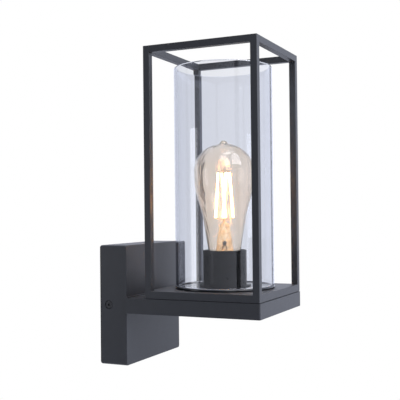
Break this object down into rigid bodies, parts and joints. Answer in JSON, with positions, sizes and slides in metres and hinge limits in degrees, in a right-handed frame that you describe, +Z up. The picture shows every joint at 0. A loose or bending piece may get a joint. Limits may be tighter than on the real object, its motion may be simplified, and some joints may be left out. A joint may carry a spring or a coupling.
{
  "type": "outdoor wall lantern",
  "caption": "Outdoor wall lantern: square wall box, flat arm tray, open square frame round a clear glass cylinder with a filament bulb.",
  "frame": {"origin": "middle of the wall bracket's back face, which lies against the wall", "axes": "+Z up, +Y into the wall, -Y out of the wall towards the viewer, +X to the right seen from in front"},
  "size_m": [0.1262, 0.1806, 0.3304],
  "materials": {
    "paint": "fine matt anthracite powder coat",
    "galvanised": "zinc-plated steel",
    "stainless": "stainless screws and wire",
    "rubber": "black silicone rubber",
    "brass": "plain brass contacts and cap",
    "glass": "clear borosilicate tube",
    "bulb_glass": "pale amber bulb glass",
    "filament": "warm glowing filament",
    "socket_plastic": "black heat-resistant moulding",
    "block_plastic": "pale nylon terminal block",
    "lead_brown": "brown lead sleeve",
    "lead_blue": "blue lead sleeve",
    "lead_green": "green earth lead sleeve"
  },
  "bodies": {
    "wall_side": {"wall_bracket": "galvanised", "cable_grommet": "rubber"},
    "lantern": {"arm_screw_left": "stainless", "arm_screw_right": "stainless", "base_plate": "paint", "base_tray": "paint", "bottom_cover": "paint", "canopy_gasket": "rubber", "canopy_housing": "paint", "cover_screw_1": "stainless", "cover_screw_2": "stainless", "cover_screw_3": "stainless", "cover_screw_4": "stainless", "earth_lead": "lead_green", "earth_nut": "galvanised", "earth_post": "brass", "earth_tag": "brass", "frame_screw_front_left": "stainless", "frame_screw_front_right": "stainless", "frame_screw_rear_left": "stainless", "frame_screw_rear_right": "stainless", "glass_gasket": "rubber", "glass_seat": "paint", "holder_cover": "paint", "lampholder_body": "socket_plastic", "live_lead": "lead_brown", "neutral_lead": "lead_blue", "nipple_nut": "galvanised", "post_front_left": "paint", "post_front_right": "paint", "post_rear_left": "paint", "post_rear_right": "paint", "side_screw_left": "stainless", "side_screw_right": "stainless", "socket_shell": "brass", "terminal_block": "block_plastic", "terminal_screw_lower_1": "stainless", "terminal_screw_lower_2": "stainless", "terminal_screw_lower_3": "stainless", "terminal_screw_upper_1": "stainless", "terminal_screw_upper_2": "stainless", "terminal_screw_upper_3": "stainless", "threaded_nipple": "galvanised", "top_bar_front": "paint", "top_bar_left": "paint", "top_bar_rear": "paint", "top_bar_right": "paint"},
    "glass": {"glass_cylinder": "glass"},
    "bulb": {"bulb_cap": "brass", "bulb_envelope": "bulb_glass", "bulb_stem": "bulb_glass", "cap_contact": "brass", "cap_insulator": "socket_plastic", "filament_1": "filament", "filament_2": "filament", "filament_3": "filament", "filament_4": "filament", "filament_support": "stainless"},
    "contact": {"centre_contact": "brass"}
  },
  "joints": [
    {"name": "canopy_slide", "type": "slide", "parent": "wall_side", "child": "lantern", "axis": [0, -1, 0], "range_m": [0, 0.045]},
    {"name": "glass_lift", "type": "slide", "parent": "lantern", "child": "glass", "axis": [0, 0, 1], "range_m": [0, 0.255]},
    {"name": "bulb_lift", "type": "slide", "parent": "lantern", "child": "bulb", "axis": [0, 0, 1], "range_m": [0, 0.245]},
    {"name": "contact_press", "type": "slide", "parent": "lantern", "child": "contact", "axis": [0, 0, -1], "range_m": [0, 0.0015], "stiffness_N_per_m": 400, "springref_m": -0.002}
  ]
}
